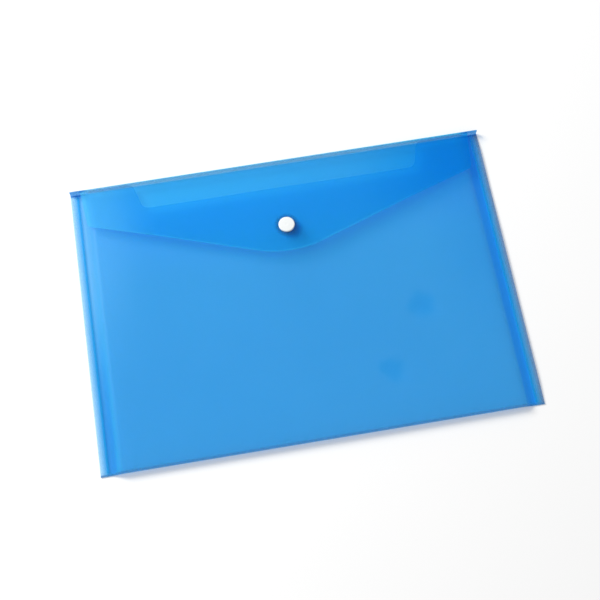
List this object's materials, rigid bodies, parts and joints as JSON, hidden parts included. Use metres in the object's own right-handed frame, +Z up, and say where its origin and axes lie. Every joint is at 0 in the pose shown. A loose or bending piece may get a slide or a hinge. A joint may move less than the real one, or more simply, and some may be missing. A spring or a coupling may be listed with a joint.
{
  "type": "document wallet",
  "caption": "Flat see-through film pocket for A4 papers with welded sides, a thumb notch at its mouth, and a pointed flap on a folding strip that closes with a press stud.",
  "frame": {"origin": "on the desk under the middle of the closed wallet, on the underside of the back panel", "axes": "+X along the width, +Y from the bottom fold towards the flap fold, +Z up out of the front panel"},
  "size_m": [0.335, 0.235, 0.0108],
  "materials": {
    "blue_film": "see-through blue polypropylene film with a fine satin grain",
    "welded_film": "two fused films, paler and slightly clouded by the weld",
    "white_stud": "white moulded plastic"
  },
  "bodies": {
    "pocket": {"back_panel": "blue_film", "bottom_strip": "blue_film", "front_panel": "blue_film", "front_right_border": "blue_film", "front_left_border": "blue_film", "right_seam": "welded_film", "left_seam": "welded_film", "stud_post": "white_stud", "stud_back_cap": "white_stud"},
    "spine": {"fold_strip": "blue_film"},
    "flap": {"flap_panel": "blue_film", "stud_cap": "white_stud", "stud_socket": "white_stud"}
  },
  "joints": [
    {"name": "spine_crease", "type": "hinge", "parent": "pocket", "child": "spine", "pos_m": [0, 0.11735, 0.00015], "axis": [-1, 0, 0], "range_deg": [0, 90]},
    {"name": "flap_crease", "type": "hinge", "parent": "spine", "child": "flap", "pos_m": [0, 0.11735, 0.00635], "axis": [-1, 0, 0], "range_deg": [0, 85]}
  ]
}
